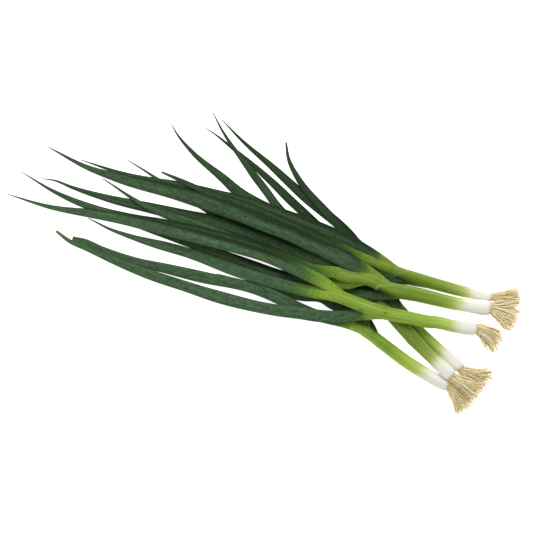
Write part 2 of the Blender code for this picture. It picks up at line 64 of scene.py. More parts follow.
# The onions, laid in this order. "stem" is the route of the stalk's middle from the root end on. bulb, neck,
# collar and end are radii along it, and whiteTo is where the white ends. A leaf is (number,
# where it leaves the stem, width, half width of its tip, route). The leaf that leaves at the
# stem's end carries on from it. "roots" is the brush's direction and spread in degrees and its
# length.
onions = {
    4: {
        "stem": [(201, -56), (190, -50.5), (175, -44.6), (160.5, -38.2), (146.5, -31), (132.5, -23),
                 (121.5, -16.6)],
        "bulb": 5.6, "neck": 5.0, "collar": 5.2, "end": 4.8, "collarAt": 66, "whiteTo": 22,
        "leaves": [
            (3, 89, 8.2, 0.5, [(75, 9), (52, 20.2), (30.2, 30.7), (10.2, 39.9), (-14.6, 52.1),
                               (-28.5, 58.3), (-59.8, 70.8), (-75.6, 76.7), (-84.5, 79)]),
            (2, 74, 9.2, 0.5, [(107, -4), (89, 13), (73.5, 24.5), (15.3, 49.6), (-15, 63.6),
                               (-52, 79.6), (-73, 91)]),
            (1, 68, 9.0, 0.8, [(101, 5), (87, 17), (74, 24), (41, 41.2), (9.2, 61.4), (-4.8, 76),
                               (-11.4, 89.3)]),
        ],
        "roots": (-3, 16, 30),
    },
    6: {
        "stem": [(195, -74), (182, -72.4), (167.3, -69.2), (151.5, -65), (137, -60), (124, -55.4),
                 (104, -49.6), (94, -49)],
        "bulb": 6.4, "neck": 5.8, "collar": 5.8, "end": 5.0, "collarAt": 62, "whiteTo": 26,
        "leaves": [
            (1, 78, 10.0, 0.5, [(112, -46.5), (106, -41.5), (97, -38.5), (84, -37.5), (74, -36.8),
                                (63, -34.2), (45.6, -38), (10.3, -42.3), (-34, -42.8)]),
            (3, 86, 9.5, 0.5, [(106.5, -44), (105, -36), (101.3, -27.5), (91, -20), (72, -16), (40, -13),
                               (0, -6), (-40, 4), (-62.7, 10.5), (-84, 15.5), (-105, 20), (-119, 24),
                               (-143, 30)]),
            (2, 105, 10.5, 2.2, [(60, -50.6), (48, -49.6), (7, -45), (-48, -50), (-84, -53),
                                 (-103, -55), (-141, -54), (-156, -52), (-168, -53)]),
        ],
        "roots": (-32, 20, 28),
    },
    5: {
        "stem": [(195, -65), (183, -59.6), (169.6, -52.9), (148.3, -41.7), (134.8, -34.5),
                 (111, -21.5)],
        "bulb": 5.9, "neck": 5.4, "collar": 6.3, "end": 5.0, "collarAt": 58, "whiteTo": 18,
        "leaves": [
            (1, 62, 12.6, 0.5, [(133, -28.5), (126, -19.5), (100, -3.4), (75.5, 7.6), (44, 16.4),
                                (14, 23), (-8, 26), (-35, 32), (-56, 41), (-89, 54.6), (-108, 66.6),
                                (-115, 73)]),
            (2, 95, 8.4, 0.5, [(80, -5), (46, 9.5), (18, 21), (-5.8, 35), (-11.9, 39.6), (-35, 55.6),
                               (-71, 83), (-83, 95)]),
        ],
        "roots": (-11, 12, 31),
    },
    1: {
        "stem": [(208, 14), (180, 10.5), (164, 9.6), (148, 8.8), (132, 8.3), (116, 9), (97, 10.2)],
        "bulb": 5.2, "neck": 5.1, "collar": 5.7, "end": 4.8, "collarAt": 76, "whiteTo": 20,
        "leaves": [
            (1, 71, 13.0, 0.5, [(130, 5.8), (118, 2.5), (105, 1.5), (78, -0.8), (55, -2.2), (41, -2.6),
                                (31, -2), (15, -0.8), (2.5, 0.3), (-24, 1.6), (-50, 0.8), (-64, -0.8),
                                (-110, -5), (-146, -8.4), (-184, -9), (-199, -8), (-211, -10)]),
            (2, 88, 10.5, 0.5, [(106, 13.2), (81, 20), (19, 26), (-90, 22), (-136, 17),
                                (-183, 17)]),
            (3, 111, 10.0, 0.8, [(80, 11.4), (71, 12.9), (44, 16), (-33, 22), (-62, 23.5),
                                 (-90.6, 27), (-110, 29)]),
        ],
        "roots": (19, 11, 26),
    },
    2: {
        "stem": [(209, 3.6), (184, -1.4), (146, -4.7), (114, -7.5), (99, -5.6), (80, -9)],
        "bulb": 7.1, "neck": 5.7, "collar": 6.6, "end": 5.6, "collarAt": 84, "whiteTo": 25,
        "leaves": [
            (1, 78, 10.0, 0.5, [(117, -12.5), (104, -17.5), (93, -20.3), (70, -22.8), (38, -25),
                                (17, -26.6), (-5, -26), (-37, -25), (-75, -25.2), (-112, -25.2),
                                (-127, -24.6)]),
            (4, 112, 10.0, 0.5, [(78, -15.6), (60, -19.2), (36, -17.4), (-22, -9.9), (-81, -6.8),
                                 (-105, -6), (-159, 7)]),
            (3, 130, 10.5, 0.5, [(68, -8.8), (57, -11), (46, -12.4), (33, -11.4), (8, -9.4),
                                 (-97, -16), (-125, -19.5), (-156, -21), (-195, -18), (-230, -10)]),
            (2, 92, 14.5, 0.5, [(103, -3), (82, 2.6), (64.9, 6.3), (50.6, 7.8), (31.9, 9.9), (15.6, 12.2),
                                (-2, 13.4), (-88, 15), (-143, 12), (-172, 12), (-215, 19)]),
        ],
        "roots": (1, 30, 28),
    },
    3: {
        "stem": [(203, -18), (183, -21.8), (167.3, -23.3), (159.4, -25.1), (143.2, -27),
                 (119.6, -29.6), (76, -28.2)],
        "bulb": 6.5, "neck": 5.5, "collar": 6.0, "end": 5.9, "collarAt": 88, "whiteTo": 20,
        "leaves": [
            (1, 82, 11.0, 1.2, [(103, -36.2), (92, -41.5), (66, -50.3), (48, -53.3), (30, -57),
                                (-25, -62.2), (-62, -62.4), (-88, -62.4), (-120, -60.9), (-154, -57.2),
                                (-169, -56), (-184, -51)]),
            (3, 128, 10.5, 0.5, [(51, -32), (-5, -35), (-63, -33), (-119, -35), (-138, -34.4),
                                 (-160, -31)]),
            (2, 118, 11.8, 0.5, [(73, -25), (62.3, -21.5), (47.2, -18.7), (30.9, -16.4), (7.2, -14.2),
                                 (-25, -14.6), (-60, -16.6), (-105, -20.2), (-132, -22.5), (-159, -26.4),
                                 (-195, -32), (-236, -33)]),
        ],
        "roots": (-14, 22, 27),
    },
}

# Each leaf's crotch: how far it is from the root end, how far the sheath's rim slants back from
# there round the stem and how late in its way round it does so, how pale the rim is, and over
# what length before and after it the leaf turns from the stem's green to its own.
crotches = {
    1: {1: (92, 13, 1.7, 0.30, 36, 6), 2: (113, 9, 1.7, 0.15, 9, 9)},
    2: {1: (104, 24, 3.2, 0.75, 24, 6), 2: (126, 14, 1.7, 0.22, 12, 14), 4: (142, 7, 1.7, 0.0, 0, 30)},
    3: {1: (108, 14, 1.7, 0.28, 10, 8), 2: (140, 5, 1.7, 0.25, 4, 62)},
    4: {1: (76, 12, 1.7, 0.10, 14, 10), 2: (82, 10, 1.7, 0.10, 14, 10)},
    5: {1: (85, 35, 1.7, 0.60, 16, 8)},
    6: {1: (84, 10, 1.7, 0.06, 10, 8), 3: (100, 10, 1.7, 0.06, 14, 8)},
}

# Each onion's colour: how much lighter or darker than the common green its stem and leaves are,
# how much wax its leaves carry, over what length past the last crotch its innermost leaf turns
# dark, and the leaves that are waxed on both sides.
tints = {
    1: {"stem": -0.26, "leaf": -0.05, "wax": 0.6, "turns": 70, "waxedBoth": ()},
    2: {"stem": -0.22, "leaf": 0.0, "wax": 0.85, "turns": 70, "waxedBoth": (4,)},
    3: {"stem": 0.05, "leaf": 0.12, "wax": 0.95, "turns": 80, "waxedBoth": (1, 3)},
    4: {"stem": -0.15, "leaf": -0.05, "wax": 0.35, "turns": 50, "waxedBoth": ()},
    5: {"stem": -0.30, "leaf": 0.0, "wax": 0.5, "turns": 50, "waxedBoth": ()},
    6: {"stem": 0.12, "leaf": 0.0, "wax": 0.95, "turns": 60, "waxedBoth": (2, 3)},
}

# How the heap is worked out: every stalk takes the lowest smooth line over what lies there.
laying = {
    "clearance": 0.4, "station": 2.0, "cell": 0.5, "floorX": 260.0, "floorY": 130.0,
    "droop": 0.25, "bend": 8.0, "ramp": 30.0, "inside": 12.0, "longestStub": 40.0,
    "flatSide": 0.92, "bulbAt": 8.0, "neckAt": 24.0, "flatness": 0.30, "thinnest": 0.4,
    "opening": 50.0, "flattening": 26.0, "taper": 1.6,
}


def along(points):
    steps = np.linalg.norm(np.diff(points, axis=0), axis=1)
    return np.concatenate([[0.0], np.cumsum(steps)])


def smoothLine(points, step):
    # a curve through the points, read off at even steps
    points = np.array(points, dtype=float)
    knots = along(points)
    slopes = np.diff(points, axis=0) / np.diff(knots)[:, None]
    tangents = np.vstack([slopes[:1], slopes[:-1], slopes[-1:]])
    for i in range(1, len(points) - 1):
        before = knots[i] - knots[i - 1]
        after = knots[i + 1] - knots[i]
        tangents[i] = (slopes[i - 1] * after + slopes[i] * before) / (before + after)
    tangents[-1] = slopes[-1]
    fine = np.linspace(0.0, knots[-1], int(knots[-1] / 0.5) + 2)
    seat = np.clip(np.searchsorted(knots, fine) - 1, 0, len(points) - 2)
    span = (knots[seat + 1] - knots[seat])[:, None]
    t = (fine - knots[seat])[:, None] / span
    curve = ((2 * t ** 3 - 3 * t ** 2 + 1) * points[seat]
             + (t ** 3 - 2 * t ** 2 + t) * span * tangents[seat]
             + (3 * t ** 2 - 2 * t ** 3) * points[seat + 1]
             + (t ** 3 - t ** 2) * span * tangents[seat + 1])
    run = along(curve)
    even = np.linspace(0.0, run[-1], int(round(run[-1] / step)) + 1)
    return np.column_stack([np.interp(even, run, curve[:, k]) for k in range(2)])


def sideways(line):
    ahead = np.gradient(line[:, :2], axis=0)
    ahead /= np.linalg.norm(ahead, axis=1)[:, None]
    return np.column_stack([-ahead[:, 1], ahead[:, 0]])


def ease(t):
    t = np.clip(t, 0.0, 1.0)
    return t * t * (3.0 - 2.0 * t)


def newHeap():
    return np.zeros((int(2 * laying["floorX"] / laying["cell"]),
                     int(2 * laying["floorY"] / laying["cell"])))


def cellOf(xy):
    lastI = int(2 * laying["floorX"] / laying["cell"]) - 1
    lastJ = int(2 * laying["floorY"] / laying["cell"]) - 1
    i = np.clip(((xy[..., 0] + laying["floorX"]) / laying["cell"]).astype(int), 0, lastI)
    j = np.clip(((xy[..., 1] + laying["floorY"]) / laying["cell"]).astype(int), 0, lastJ)
    return i, j


def shoulder(w):
    return np.sqrt(np.maximum(1.0 - w * w, 0.0))


def neededHeight(heap, line, halfWidth, halfThick):
    across = sideways(line)
    need = halfThick * laying["flatSide"]
    for w in np.linspace(-1.0, 1.0, 15):
        spots = line[:, :2] + across * (w * (halfWidth + laying["clearance"]))[:, None]
        top = heap[cellOf(spots)]
        lifted = top + laying["clearance"] + halfThick * shoulder(w)
        need = np.where(top > 0.0, np.maximum(need, lifted), need)
    return need


def drape(need):
    line = need.copy()
    fall = laying["droop"] * laying["station"]
    for i in range(1, len(line)):
        line[i] = max(line[i], line[i - 1] - fall)
    for i in range(len(line) - 2, -1, -1):
        line[i] = max(line[i], line[i + 1] - fall)
    reach = int(laying["bend"] / laying["station"])
    padded = np.pad(line, 2 * reach, mode="edge")
    windows = np.lib.stride_tricks.sliding_window_view(padded, 2 * reach + 1)
    weights = np.cos(np.linspace(-1.4, 1.4, 2 * reach + 1)) ** 2
    return np.convolve(windows.max(axis=1), weights / weights.sum(), mode="valid")


def addToHeap(heap, tube):
    run = along(tube["line"][:, :2])
    fine = np.linspace(0.0, run[-1], int(run[-1] / 0.4) + 2)
    line = np.column_stack([np.interp(fine, run, tube["line"][:, k]) for k in range(3)])
    halfWidth = np.interp(fine, run, tube["halfWidth"])
    halfThick = np.interp(fine, run, tube["halfThick"])
    across = sideways(line)
    for w in np.linspace(-1.0, 1.0, 41):
        spots = line[:, :2] + across * (w * halfWidth)[:, None]
        np.maximum.at(heap, cellOf(spots), line[:, 2] + halfThick * shoulder(w))


def stemRadius(onion, run):
    ends = [0.0, 3.0, laying["bulbAt"], laying["neckAt"], onion["collarAt"] - 6,
            onion["collarAt"] + 16, run[-1]]
    bulb = onion["bulb"]
    sizes = [0.72 * bulb, 0.93 * bulb, bulb, onion["neck"], onion["collar"], onion["end"] + 0.3,
             onion["end"]]
    rough = np.interp(run, ends, sizes)
    smooth = np.convolve(np.pad(rough, 2, mode="edge"), [0.1, 0.2, 0.4, 0.2, 0.1], mode="valid")
    return np.where(run < laying["neckAt"], rough, smooth)


def layStem(onion, heap):
    line = smoothLine(onion["stem"], laying["station"])
    radius = stemRadius(onion, along(line))
    height = drape(neededHeight(heap, line, radius, radius))
    return {"line": np.column_stack([line, height]), "halfWidth": radius, "halfThick": radius}


def leafSizes(run, fork, base, width, tip):
    opened = ease((run - fork) / laying["opening"])
    inside = laying["inside"]
    flattened = ease((run - fork + inside) / (laying["flattening"] + inside))
    share = np.clip((run / run[-1] - 0.5) / 0.5, 0.0, 1.0)
    taper = 1.0 - share ** laying["taper"]
    halfWidth = (base + (width / 2 - base) * opened) * taper + tip * (1.0 - taper)
    flat = base + (laying["flatness"] * width / 2 - base) * flattened
    halfThick = np.maximum(flat * taper ** 0.7, laying["thinnest"])
    return halfWidth, np.minimum(halfThick, np.maximum(halfWidth, laying["thinnest"]))


def layLeaf(stem, leaf, heap, ownHeap):
    number, fork, width, tip, route = leaf
    inside = laying["inside"]
    stemRun = along(stem["line"][:, :2])
    fork = min(fork, stemRun[-1])
    inner = [(np.interp(s, stemRun, stem["line"][:, 0]),
              np.interp(s, stemRun, stem["line"][:, 1]))
             for s in (fork - inside, fork - inside / 2, fork)]
    line = smoothLine(inner + route, laying["station"])
    run = along(line)
    isHeart = fork > stemRun[-1] - 1.0
    radius = np.interp(fork, stemRun, stem["halfWidth"])
    base = radius if isHeart else 0.8 * radius
    halfWidth, halfThick = leafSizes(run, inside, base, width, tip)
    fromStem = np.interp(run + fork - inside, stemRun, stem["line"][:, 2])
    leaving = ease((run - inside) / laying["ramp"])
    need = neededHeight(heap, line, halfWidth, halfThick)
    free = fromStem + (drape(need) - fromStem) * leaving
    ownNeed = neededHeight(ownHeap, line, halfWidth, halfThick)
    blocked = np.nonzero(ownNeed > free + 0.3)[0]
    stub = min(run[blocked[-1]] if len(blocked) else inside, inside + laying["longestStub"])
    need = np.where(run >= stub, np.maximum(need, ownNeed), need)
    height = fromStem + (drape(need) - fromStem) * leaving
    return {"line": np.column_stack([line, height]), "halfWidth": halfWidth,
            "halfThick": halfThick, "number": number, "heart": isHeart, "fork": fork,
            "radius": radius, "width": width, "tip": tip}


def layBunch():
    heap = newHeap()
    bunch = {}
    for number, onion in onions.items():
        stem = layStem(onion, heap)
        ownHeap = newHeap()
        leaves = []
        for leaf in onion["leaves"]:
            laid = layLeaf(stem, leaf, heap, ownHeap)
            addToHeap(ownHeap, laid)
            leaves.append(laid)
        heap = np.maximum(heap, ownHeap)
        addToHeap(heap, stem)
        bunch[number] = {"stem": stem, "leaves": leaves}
    return bunch


bunch = layBunch()
print("bunch laid,", sum(len(parts["leaves"]) for parts in bunch.values()), "leaves")


def linear(hexColour):
    # sRGB hex to the linear colour that the shader wants
    parts = [int(hexColour[i:i + 2], 16) / 255 for i in (1, 3, 5)]
    return [c / 12.92 if c <= 0.04045 else ((c + 0.055) / 1.055) ** 2.4 for c in parts] + [1.0]


def addNode(tree, kind, inputs=None, **settings):
    # inputs: {socket name or index: value, or the output socket that feeds it}
    node = tree.nodes.new(kind)
    for name, value in settings.items():
        setattr(node, name, value)
    for name, value in (inputs or {}).items():
        if isinstance(value, bpy.types.NodeSocket):
            tree.links.new(value, node.inputs[name])
        else:
            node.inputs[name].default_value = value
    return node


def newMaterial(name):
    material = bpy.data.materials.new(name)
    material.use_nodes = True
    material.node_tree.nodes.clear()
    return material, material.node_tree


def setRamp(ramp, stops):
    elements = ramp.color_ramp.elements
    while len(elements) < len(stops):
        elements.new(0.5)
    for element, (position, colour) in zip(elements, stops):
        element.position = position
        element.color = linear(colour)


# Onion leaf: a living, hollow leaf under a thin wax bloom. To the eye one long side of each blade
# is a deep saturated green and the other is greyed by the bloom; both are veined lengthwise, and
# towards the root end the skin pales through yellow-green to a satin white.
skinLook = {
    "stops": [(0.00, "#F8F6F1"), (0.09, "#E9E8CB"), (0.18, "#C6D47F"), (0.32, "#A3BE4E"),
              (0.48, "#7E9D35"), (0.62, "#52742B"), (0.78, "#34501F"), (1.00, "#1F3219")],
    "bloom": "#4D6846", "bloomCool": "#48644A", "rim": "#CBD6A0", "dry": "#8C8050",
    "streakMm": 1.4, "streakLongMm": 60.0, "streakShift": 0.28,
    "veinMm": 0.9, "veinLongMm": 200.0, "patchMm": 4.0, "patchLongMm": 30.0,
    "blotchMm": 2.2, "blotchLongMm": 8.0,
    "speckMm": 1.2, "speckLongMm": 2.4,
}


def makeSkin(name, roughness, specular, vein, speck):
    look = skinLook
    material, tree = newMaterial(name)
    grain = addNode(tree, "ShaderNodeAttribute", attribute_name="grain").outputs["Vector"]
    green = addNode(tree, "ShaderNodeAttribute", attribute_name="green").outputs["Fac"]
    rim = addNode(tree, "ShaderNodeAttribute", attribute_name="rim").outputs["Fac"]
    dry = addNode(tree, "ShaderNodeAttribute", attribute_name="dry").outputs["Fac"]
    bloom = addNode(tree, "ShaderNodeAttribute", attribute_name="bloom").outputs["Fac"]
    tone = addNode(tree, "ShaderNodeAttribute", attribute_name="tone").outputs["Fac"]

    def lengthwise(acrossMm, alongMm, detail):
        fine = addNode(tree, "ShaderNodeVectorMath",
                       {0: grain, 1: (1 / acrossMm, 1 / acrossMm, 1 / alongMm)},
                       operation="MULTIPLY")
        return addNode(tree, "ShaderNodeTexNoise",
                       {"Vector": fine.outputs[0], "Scale": 1.0, "Detail": detail,
                        "Roughness": 0.55}).outputs["Fac"]

    def spread(value, low, high, toLow, toHigh):
        return addNode(tree, "ShaderNodeMapRange",
                       {"Value": value, "From Min": low, "From Max": high, "To Min": toLow,
                        "To Max": toHigh}).outputs[0]

    def combine(operation, first, second):
        return addNode(tree, "ShaderNodeMath", {0: first, 1: second}, operation=operation).outputs[0]

    def mixColour(share, under, over):
        return addNode(tree, "ShaderNodeMix", {0: share, 6: under, 7: over},
                       data_type="RGBA").outputs[2]

    streak = lengthwise(look["streakMm"], look["streakLongMm"], 3.0)
    veins = lengthwise(look["veinMm"], look["veinLongMm"], 1.0)
    patches = lengthwise(look["patchMm"], look["patchLongMm"], 3.0)
    specks = lengthwise(look["speckMm"], look["speckLongMm"], 2.0)
    # the streaks move the place on the ramp, but never into the pure white at the root end
    shift = combine("MULTIPLY", combine("ADD", streak, -0.5), look["streakShift"])
    shift = combine("MULTIPLY", shift, spread(green, 0.0, 0.1, 0.0, 1.0))
    ramp = addNode(tree, "ShaderNodeValToRGB", {"Fac": combine("ADD", green, shift)})
    setRamp(ramp, look["stops"])
    wax = mixColour(spread(patches, 0.35, 0.65, 0.0, 1.0), linear(look["bloom"]),
                    linear(look["bloomCool"]))
    blotches = lengthwise(look["blotchMm"], look["blotchLongMm"], 3.0)
    waxShare = combine("MULTIPLY", bloom, spread(blotches, 0.32, 0.62, 0.5, 1.08))
    colour = mixColour(waxShare, ramp.outputs["Color"], wax)
    shade = combine("MULTIPLY", spread(veins, 0.3, 0.7, 1.0 - vein, 1.0 + vein),
                    spread(specks, 0.3, 0.7, 1.0 - speck, 1.0 + speck))
    shade = combine("MULTIPLY", shade, combine("ADD", tone, 1.0))
    colour = addNode(tree, "ShaderNodeVectorMath", {0: colour, "Scale": shade},
                     operation="SCALE").outputs[0]
    colour = mixColour(rim, colour, linear(look["rim"]))
    colour = mixColour(dry, colour, linear(look["dry"]))
    bump = addNode(tree, "ShaderNodeBump", {"Height": veins, "Strength": 0.25, "Distance": 0.0004})
    shader = addNode(tree, "ShaderNodeBsdfPrincipled",
                     {"Base Color": colour,
                      "Roughness": spread(patches, 0.35, 0.7, roughness - 0.05, roughness + 0.1),
                      "Normal": bump.outputs[0], "IOR": 1.42, "Specular IOR Level": specular,
                      "Subsurface Weight": 0.10, "Subsurface Radius": (1.0, 0.9, 0.4),
                      "Subsurface Scale": 0.0015})
    addNode(tree, "ShaderNodeOutputMaterial", {"Surface": shader.outputs[0]})
    return material


# Dried fibrous roots, washed and trimmed: matt straw threads, browner where they leave the plate.
rootLook = {"stops": [(0.0, "#BB9A62"), (0.35, "#EAD5A0"), (0.75, "#FBEBBC"), (1.0, "#FFF7DA")]}


def makeRootMaterial():
    material, tree = newMaterial("driedRootFibre")
    tone = addNode(tree, "ShaderNodeAttribute", attribute_name="tone").outputs["Fac"]
    grain = addNode(tree, "ShaderNodeAttribute", attribute_name="grain").outputs["Vector"]
    specks = addNode(tree, "ShaderNodeTexNoise",
                     {"Vector": grain, "Scale": 0.8, "Detail": 2.0}).outputs["Fac"]
    shift = addNode(tree, "ShaderNodeMath", {0: specks, 1: -0.5}, operation="ADD")
    shift = addNode(tree, "ShaderNodeMath", {0: shift.outputs[0], 1: 0.5}, operation="MULTIPLY")
    place = addNode(tree, "ShaderNodeMath", {0: tone, 1: shift.outputs[0]}, operation="ADD")
    ramp = addNode(tree, "ShaderNodeValToRGB", {"Fac": place.outputs[0]})
    setRamp(ramp, rootLook["stops"])
    bump = addNode(tree, "ShaderNodeBump", {"Height": specks, "Strength": 0.3, "Distance": 0.0003})
    shader = addNode(tree, "ShaderNodeBsdfPrincipled",
                     {"Base Color": ramp.outputs["Color"], "Roughness": 0.85,
                      "Normal": bump.outputs[0], "IOR": 1.45, "Subsurface Weight": 0.35,
                      "Subsurface Radius": (1.0, 0.85, 0.6), "Subsurface Scale": 0.001})
    addNode(tree, "ShaderNodeOutputMaterial", {"Surface": shader.outputs[0]})
    return material


leafSkin = makeSkin("waxyOnionLeaf", 0.48, 0.08, 0.12, 0.30)
stemSkin = makeSkin("onionStemSkin", 0.40, 0.18, 0.05, 0.03)
rootFibre = makeRootMaterial()
print("materials made")


def makePiece(name, parts, material, nodes):
    # parts: closed skins, each {"points": (rings, sides, 3) in mm, and values for each point}
    corners, faces = [], []
    values = {"grain": [], "green": [], "rim": [], "dry": [], "bloom": [], "tone": []}
    first = 0
    for part in parts:
        points = part["points"]
        points[:, :, 2] = np.minimum(points[:, :, 2], cadHigh[2] / mm)
        ringCount, sides = points.shape[:2]
        index = first + np.arange(ringCount * sides).reshape(ringCount, sides)
        a, b = index[:-1], np.roll(index[:-1], -1, axis=1)
        c, d = np.roll(index[1:], -1, axis=1), index[1:]
        faces += np.stack([a, b, c, d], axis=-1).reshape(-1, 4).tolist()
        for ring, turn in ((0, -1), (-1, 1)):
            faces.append(index[ring][::turn].tolist())
        corners.append(points.reshape(-1, 3))
        for key in values:
            value = part.get(key)
            if value is None:
                value = np.zeros((ringCount, sides, 3) if key == "grain" else (ringCount, sides))
            values[key].append(value.reshape(-1, 3) if key == "grain" else value.reshape(-1))
        first += ringCount * sides
    mesh = bpy.data.meshes.new(name)
    mesh.from_pydata((np.concatenate(corners) * mm).tolist(), [], faces)
    for key in values:
        kind = "FLOAT_VECTOR" if key == "grain" else "FLOAT"
        layer = mesh.attributes.new(key, kind, "POINT")
        data = np.concatenate(values[key]).astype(np.float32).ravel()
        layer.data.foreach_set("vector" if kind == "FLOAT_VECTOR" else "value", data)
    mesh.shade_smooth()
    mesh.set_sharp_from_angle(angle=math.radians(60))
    mesh.materials.append(material)
    piece = bpy.data.objects.new(name, mesh)
    bpy.context.scene.collection.objects.link(piece)
    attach(piece, "root")
    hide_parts(*nodes)


def readLine(tube, stations):
    run = along(tube["line"][:, :2])
    return np.column_stack([np.interp(stations, run, tube["line"][:, k]) for k in range(3)])


def crossFrame(line, stations):
    # level direction across the stalk and the one that stands on it, at each station
    ahead = np.gradient(line, stations, axis=0)
    ahead /= np.linalg.norm(ahead, axis=1)[:, None]
    across = np.column_stack([-ahead[:, 1], ahead[:, 0], np.zeros(len(line))])
    across /= np.linalg.norm(across, axis=1)[:, None]
    return across, np.cross(ahead, across)


def wander(rng, run, shortest, longest):
    # a slow wave between -1 and 1
    total = np.zeros(len(run))
    for share in (0.6, 0.4):
        length = rng.uniform(shortest, longest)
        total += share * np.sin(2 * np.pi * (run / length + rng.uniform(0, 1)))
    return total


def ringsRound(line, across, upward, sideStep, rise):
    # the points round a line, from their steps across it and their rises over it
    return (line[:, None, :]
            + across[:, None, :] * sideStep[:, :, None]
            + upward[:, None, :] * rise[:, :, None])


def allRound(values, sides):
    # one value for each ring, given to all of the ring's points
    return np.repeat(values[:, None], sides, axis=1)


def grainOf(turns, distance, seed):
    # where a point is on the stalk's skin, in mm: round it on a 10 mm circle, and along it
    grain = np.zeros(distance.shape + (3,))
    grain[:, :, 0] = 5.0 * np.cos(turns)
    grain[:, :, 1] = 5.0 * np.sin(turns)
    grain[:, :, 2] = distance + 1000.0 * seed
    return grain


def stemGreen(onion, distance):
    white = onion["whiteTo"]
    return np.interp(distance, [0.0, 0.7 * white, white, white + 7, white + 24, onion["collarAt"]],
                     [0.0, 0.03, 0.12, 0.24, 0.38, 0.46])


# The stem: edgeAt and edge round off its root end, as distances and shares of the bulb's radius,
# and tanAt and tan say how far the brown of the plate runs up it. Its last stretch, overlap, sinks
# into the innermost leaf.
stemShape = {"sides": 40, "step": 1.2, "edgeRings": 13, "overlap": 14.0, "sunk": 0.2, "sinkIn": 4.0,
             "uneven": 0.012, "edgeAt": [0.0, 0.8, 2.0, 5.0, 8.0],
             "edge": [0.74, 0.87, 0.95, 0.99, 1.0], "tanAt": [0.0, 1.0, 3.0], "tan": [0.45, 0.2, 0.0]}


def stemPart(number, onion, stem):
    rng = np.random.default_rng(number)
    run = along(stem["line"][:, :2])
    last = run[-1] - 1.0
    bulbAt = laying["bulbAt"]
    stations = np.concatenate([np.linspace(0, bulbAt, stemShape["edgeRings"] + 1)[:-1],
                               np.arange(bulbAt, last, stemShape["step"]), [last]])
    line = readLine(stem, stations)
    radius = np.interp(stations, run, stem["halfWidth"])
    blunt = onion["bulb"] * np.interp(stations, stemShape["edgeAt"], stemShape["edge"])
    radius = np.where(stations < bulbAt, blunt, radius)
    radius = radius - stemShape["sunk"] * ease((stations - last + stemShape["overlap"]) / stemShape["sinkIn"])
    across, upward = crossFrame(line, stations)
    sides = stemShape["sides"]
    turns = np.arange(sides) * 2 * np.pi / sides
    uneven = 1.0 + stemShape["uneven"] * wander(rng, stations, 20, 60)[:, None] * np.cos(2 * turns)[None, :]
    points = ringsRound(line, across, upward, radius[:, None] * uneven * np.cos(turns),
                        radius[:, None] * uneven * np.sin(turns))
    points[:, :, 2] = np.maximum(points[:, :, 2], 0.0)
    green = allRound(stemGreen(onion, stations), sides)
    tone = np.full(green.shape, tints[number]["stem"]) * ease(stations / onion["whiteTo"] - 0.8)[:, None]
    tan = np.interp(stations, stemShape["tanAt"], stemShape["tan"])
    return {"points": points, "grain": grainOf(turns, allRound(stations, sides), number),
            "green": green, "tone": tone, "dry": allRound(tan, sides)}


def darkeningOf(number, leafNumber, distance):
    # 0 where the leaf is still as green as the stem, 1 where it has its own dark green
    place, _, _, _, before, after = crotches[number][leafNumber]
    return ease((distance - place + before) / (before + after))


# The end of a leaf's sheath round the younger stem. It rises out of the stem, ends in a rim that
# stands proud of it, and turns in under the rim. It swells where the leaf is thick at its crotch.
cuffShape = {"rings": 30, "proud": 0.3, "flush": 12.0, "sunk": 0.1, "under": 0.4, "tuck": 0.6,
             "lip": 2.4, "fade": 0.6, "swell": {(1, 1): 1.6}, "swellIn": 1.6}


def cuffPart(number, onion, stem, heart, leaf):
    crotch, slant, late, pale, before, _ = crotches[number][leaf["number"]]
    heartRun = along(heart["line"][:, :2])
    beyond = heartRun > laying["inside"] + 1.0
    line = np.vstack([stem["line"], heart["line"][beyond]])
    wide = np.concatenate([stem["halfWidth"], heart["halfWidth"][beyond]])
    thick = np.concatenate([stem["halfThick"], heart["halfThick"][beyond]])
    run = along(line[:, :2])
    level, upward = crossFrame(line, run)
    # the side of the stem on which the leaf leaves, 1 or -1
    aside = leaf["line"][:, :2] - readLine({"line": line}, np.full(1, crotch))[:, :2]
    nearest = np.argmin(np.linalg.norm(aside, axis=1))
    side = np.sign(aside[nearest] @ level[np.searchsorted(run, crotch)][:2])
    sides = stemShape["sides"]
    turns = np.arange(sides) * 2 * np.pi / sides
    around = (1.0 - np.cos(turns) * side) / 2
    rim = crotch - slant * around ** late
    start = crotch - max(slant + cuffShape["flush"], before + 2.0)
    share = np.concatenate([np.linspace(0.0, 1.0, cuffShape["rings"]), [1.0, 1.0]])
    out = cuffShape["proud"] * ease(share) - cuffShape["sunk"] * (1 - ease(share * 4))
    out[-2:] = (0.0, -cuffShape["under"])
    leafSide = np.maximum(np.cos(turns) * side, 0.0)
    swell = cuffShape["swell"].get((number, leaf["number"]), 0.0)
    swelling = swell * ease(share * cuffShape["swellIn"])
    out = out[:, None] + swelling[:, None] * leafSide[None, :] ** 2
    distance = start + share[:, None] * (rim[None, :] - start)
    distance[-1] -= cuffShape["tuck"]
    centre, across, rising = [np.stack([np.interp(distance, run, values[:, k]) for k in range(3)], axis=-1)
                              for values in (line, level, upward)]
    points = (centre
              + across * ((np.interp(distance, run, wide) + out) * np.cos(turns))[..., None]
              + rising * ((np.interp(distance, run, thick) + out) * np.sin(turns))[..., None])
    points[:, :, 2] = np.maximum(points[:, :, 2], 0.0)
    edge = ease((distance - rim[None, :] + cuffShape["lip"]) / cuffShape["lip"])
    green = stemGreen(onion, distance)
    green = green + (1.0 - green) * darkeningOf(number, leaf["number"], distance) * leafSide ** 1.5
    return {"points": points, "grain": grainOf(turns, distance, number), "green": green,
            "rim": pale * edge * (1.0 - cuffShape["fade"] * around),
            "tone": np.full(distance.shape, tints[number]["stem"])}


